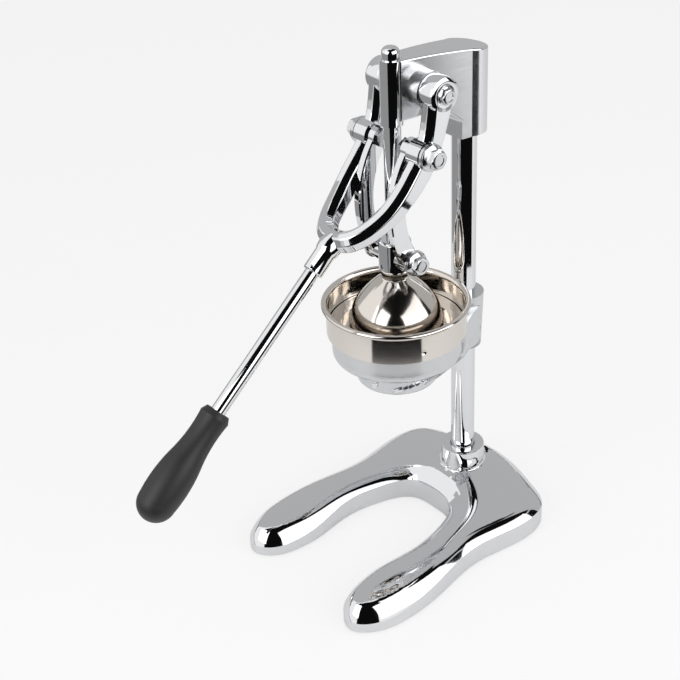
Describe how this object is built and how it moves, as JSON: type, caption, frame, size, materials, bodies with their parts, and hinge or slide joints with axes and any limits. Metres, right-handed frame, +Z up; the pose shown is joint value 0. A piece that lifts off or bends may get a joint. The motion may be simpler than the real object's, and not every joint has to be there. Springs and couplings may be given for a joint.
{
  "type": "lever citrus juice press",
  "caption": "Lever citrus press: horseshoe base, column and head, a forked lever that drives a rod and bell down on a reamer in a bowl held by a ring holder.",
  "frame": {"origin": "on the column's axis at the surface that the press stands on", "axes": "+Z up along the column, -Y to the front where the lever and the open end of the base are, +X to the side across the mirror plane"},
  "size_m": [0.1542, 0.3222, 0.3862],
  "materials": {
    "chrome": "mirror bright",
    "satin_cast": "satin, brushed",
    "warm_steel": "bright, slightly warm",
    "bolt_steel": "bright",
    "dark_steel": "dark",
    "black_grip": "matte",
    "pad_rubber": "matte"
  },
  "bodies": {
    "stand": {"base_casting": "chrome", "foot_pads": "pad_rubber", "column": "chrome", "column_bolt": "bolt_steel", "column_washer": "bolt_steel", "head_casting": "chrome", "head_set_screw": "dark_steel", "guide_sleeve": "chrome", "fork_pivot_bolts": "bolt_steel", "fork_pivot_washers": "bolt_steel", "cup_holder": "satin_cast", "holder_set_screw": "dark_steel"},
    "lever": {"lever_fork": "chrome", "crank_bolts": "bolt_steel", "crank_washers": "bolt_steel", "handle_rod": "chrome", "handle_pin": "bolt_steel", "hand_grip": "black_grip"},
    "plunger": {"plunger_rod": "chrome", "crosshead": "chrome", "crosshead_pin": "bolt_steel", "pressing_bell": "warm_steel", "bell_nut": "bolt_steel", "link_bolts": "bolt_steel", "link_washers": "bolt_steel"},
    "link_left_arm": {"link_left": "chrome", "crank_nut_left": "bolt_steel"},
    "link_right_arm": {"link_right": "chrome", "crank_nut_right": "bolt_steel"},
    "bowl": {"juice_bowl": "warm_steel", "bowl_funnel": "warm_steel", "bowl_spout": "warm_steel", "strainer": "warm_steel", "reamer": "warm_steel"}
  },
  "joints": [
    {"name": "lever_swing", "type": "hinge", "parent": "stand", "child": "lever", "pos_m": [0, -0.0488, 0.3567], "axis": [-1, 0, 0], "range_deg": [0, 95]},
    {"name": "plunger_slide", "type": "slide", "parent": "stand", "child": "plunger", "axis": [0, 0, 1], "range_m": [0, 0.0572]},
    {"name": "link_left_swing", "type": "hinge", "parent": "plunger", "child": "link_left_arm", "pos_m": [-0.0161, -0.066, 0.239], "axis": [1, 0, 0], "range_deg": [0, 20]},
    {"name": "link_right_swing", "type": "hinge", "parent": "plunger", "child": "link_right_arm", "pos_m": [0.0161, -0.066, 0.239], "axis": [1, 0, 0], "range_deg": [0, 20]},
    {"name": "bowl_turn", "type": "hinge", "parent": "stand", "child": "bowl", "pos_m": [0, -0.066, 0.18], "axis": [0, 0, 1], "continuous": true}
  ],
  "couplings": [
    {"joint": "plunger_slide", "follows": "lever_swing", "m_per_rad": 0.0344},
    {"joint": "link_left_swing", "follows": "lever_swing", "ratio": 0.21},
    {"joint": "link_right_swing", "follows": "lever_swing", "ratio": 0.21}
  ]
}
